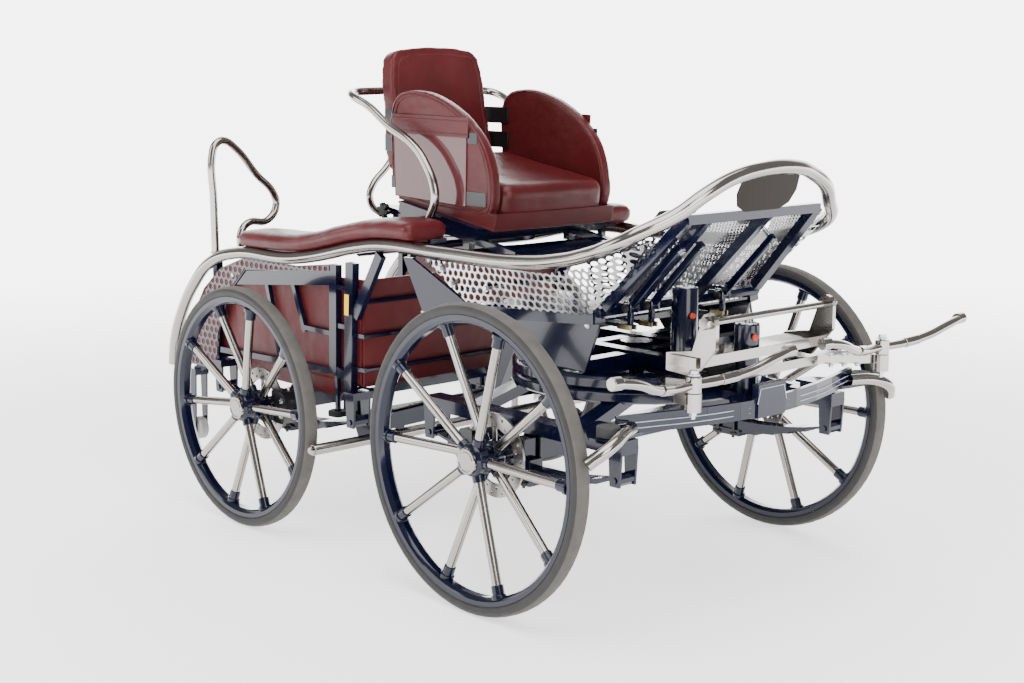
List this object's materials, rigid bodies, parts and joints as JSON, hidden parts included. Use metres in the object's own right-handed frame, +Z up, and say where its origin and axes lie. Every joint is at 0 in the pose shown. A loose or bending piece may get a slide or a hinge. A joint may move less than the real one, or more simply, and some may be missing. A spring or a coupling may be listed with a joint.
{
  "type": "marathon carriage",
  "caption": "Four-wheeled sporting carriage with a steering front gear on a turntable, leaf springs, disc brakes, sliding driver's seat, groom's rear platform and swingletrees.",
  "frame": {"origin": "centre of the footprint on the ground, under the middle of the overall box", "axes": "+X forwards to the horses, +Y to the driver's left, +Z up"},
  "size_m": [2.3271, 1.4034, 1.422],
  "materials": {
    "navy_paint": "glossy navy powder coat",
    "stainless": "polished stainless steel",
    "bright_sheet": "bright perforated sheet",
    "tread": "bright tread plate",
    "tyre": "matt black solid rubber",
    "black_metal": "satin black",
    "spring_steel": "black painted spring steel",
    "red_cover": "smooth oxblood cover",
    "pad_cover": "dark red padded cover",
    "black_plastic": "matt black moulded",
    "brass": "plated clevis and rod",
    "mirror_sheet": "mirror polished plate"
  },
  "bodies": {
    "chassis": {"brake_caliper_rear_right": "black_metal", "leaf_spring_rear_right": "spring_steel", "brake_caliper_rear_left": "black_metal", "leaf_spring_rear_left": "spring_steel", "rear_axle": "navy_paint", "main_frame": "navy_paint", "dash_frame": "navy_paint", "step_bar": "navy_paint", "seat_base": "navy_paint", "side_rail": "stainless", "grab_handle_right": "stainless", "side_panel_right": "bright_sheet", "side_pad_right": "pad_cover", "grab_handle_left": "stainless", "side_panel_left": "bright_sheet", "side_pad_left": "pad_cover", "footboard": "bright_sheet", "mirror_plate": "mirror_sheet", "rear_lining": "red_cover", "rear_floor": "bright_sheet", "tread_plate": "tread"},
    "front_gear": {"front_carriage": "navy_paint", "front_axle": "navy_paint", "bumper_bow": "navy_paint", "pole_bracket": "stainless", "leaf_spring_front_right": "spring_steel", "leaf_spring_front_left": "spring_steel", "brake_caliper_front_right": "black_metal", "brake_caliper_front_left": "black_metal"},
    "front_right_wheel": {"tyre_front_right": "tyre", "wheel_front_right": "stainless", "brake_disc_front_right": "stainless"},
    "front_left_wheel": {"tyre_front_left": "tyre", "wheel_front_left": "stainless", "brake_disc_front_left": "stainless"},
    "rear_right_wheel": {"tyre_rear_right": "tyre", "wheel_rear_right": "stainless", "brake_disc_rear_right": "stainless"},
    "rear_left_wheel": {"tyre_rear_left": "tyre", "wheel_rear_left": "stainless", "brake_disc_rear_left": "stainless"},
    "draught_pin": {"pole_pin": "stainless"},
    "evener_bar": {"evener": "stainless"},
    "right_swingletree": {"swingletree_right": "stainless"},
    "left_swingletree": {"swingletree_left": "stainless"},
    "right_pedal": {"pedal_right": "navy_paint"},
    "right_push_rod": {"push_rod_right": "brass"},
    "centre_pedal": {"pedal_centre": "navy_paint"},
    "centre_push_rod": {"push_rod_centre": "brass"},
    "left_pedal": {"pedal_left": "navy_paint"},
    "left_push_rod": {"push_rod_left": "brass"},
    "seat": {"seat_pan": "navy_paint", "seat_cushion": "red_cover", "seat_back": "red_cover", "seat_hoop": "stainless", "seat_wing_right": "red_cover", "seat_wing_left": "red_cover"},
    "lock_knob": {"seat_lock_knob": "black_plastic"},
    "adjuster": {"adjuster_handwheel": "stainless"},
    "roller": {"rear_roller": "black_plastic"}
  },
  "joints": [
    {"name": "steering", "type": "hinge", "parent": "chassis", "child": "front_gear", "pos_m": [0.57065, 0, 0.56], "axis": [0, 0, 1], "range_deg": [-26, 26]},
    {"name": "front_right_wheel_spin", "type": "hinge", "parent": "front_gear", "child": "front_right_wheel", "pos_m": [0.57065, -0.57, 0.4], "axis": [0, 1, 0], "continuous": true},
    {"name": "front_left_wheel_spin", "type": "hinge", "parent": "front_gear", "child": "front_left_wheel", "pos_m": [0.57065, 0.57, 0.4], "axis": [0, 1, 0], "continuous": true},
    {"name": "rear_right_wheel_spin", "type": "hinge", "parent": "chassis", "child": "rear_right_wheel", "pos_m": [-0.48935, -0.57, 0.364], "axis": [0, 1, 0], "continuous": true},
    {"name": "rear_left_wheel_spin", "type": "hinge", "parent": "chassis", "child": "rear_left_wheel", "pos_m": [-0.48935, 0.57, 0.364], "axis": [0, 1, 0], "continuous": true},
    {"name": "pole_pin_pull", "type": "slide", "parent": "front_gear", "child": "draught_pin", "axis": [0, -1, 0], "range_m": [0, 0.2]},
    {"name": "evener_swing", "type": "hinge", "parent": "front_gear", "child": "evener_bar", "pos_m": [0.95365, 0, 0.61], "axis": [0, 0, 1], "range_deg": [-6, 6]},
    {"name": "right_swingletree_swing", "type": "hinge", "parent": "evener_bar", "child": "right_swingletree", "pos_m": [1.10465, -0.38, 0.644], "axis": [0, 0, 1], "range_deg": [-15, 15]},
    {"name": "left_swingletree_swing", "type": "hinge", "parent": "evener_bar", "child": "left_swingletree", "pos_m": [1.10465, 0.38, 0.644], "axis": [0, 0, 1], "range_deg": [-15, 15]},
    {"name": "right_pedal_press", "type": "hinge", "parent": "chassis", "child": "right_pedal", "pos_m": [0.76265, -0.232, 0.772], "axis": [0, 1, 0], "range_deg": [0, 8], "stiffness_Nm_per_rad": 25, "springref_deg": -8.59},
    {"name": "right_push_rod_slide", "type": "slide", "parent": "chassis", "child": "right_push_rod", "axis": [-1, 0, 0], "range_m": [0, 0.0072]},
    {"name": "centre_pedal_press", "type": "hinge", "parent": "chassis", "child": "centre_pedal", "pos_m": [0.76265, -0.153, 0.772], "axis": [0, 1, 0], "range_deg": [0, 8], "stiffness_Nm_per_rad": 25, "springref_deg": -8.59},
    {"name": "centre_push_rod_slide", "type": "slide", "parent": "chassis", "child": "centre_push_rod", "axis": [-1, 0, 0], "range_m": [0, 0.0072]},
    {"name": "left_pedal_press", "type": "hinge", "parent": "chassis", "child": "left_pedal", "pos_m": [0.76265, 0.128, 0.772], "axis": [0, 1, 0], "range_deg": [0, 8], "stiffness_Nm_per_rad": 25, "springref_deg": -8.59},
    {"name": "left_push_rod_slide", "type": "slide", "parent": "chassis", "child": "left_push_rod", "axis": [-1, 0, 0], "range_m": [0, 0.0072]},
    {"name": "seat_slide", "type": "slide", "parent": "chassis", "child": "seat", "axis": [0.9877, 0, -0.1564], "range_m": [-0.04, 0.08]},
    {"name": "lock_knob_turn", "type": "hinge", "parent": "chassis", "child": "lock_knob", "pos_m": [-0.24862, -0.212, 0.94993], "axis": [0, 1, 0], "continuous": true},
    {"name": "adjuster_turn", "type": "hinge", "parent": "chassis", "child": "adjuster", "pos_m": [-0.26435, -0.4, 0.354], "axis": [0, 0, 1], "continuous": true},
    {"name": "roller_spin", "type": "hinge", "parent": "chassis", "child": "roller", "pos_m": [-1.04635, -0.4, 0.175], "axis": [0, 1, 0], "continuous": true}
  ],
  "couplings": [
    {"joint": "right_push_rod_slide", "follows": "right_pedal_press", "m_per_rad": 0.05},
    {"joint": "centre_push_rod_slide", "follows": "centre_pedal_press", "m_per_rad": 0.05},
    {"joint": "left_push_rod_slide", "follows": "left_pedal_press", "m_per_rad": 0.05}
  ]
}
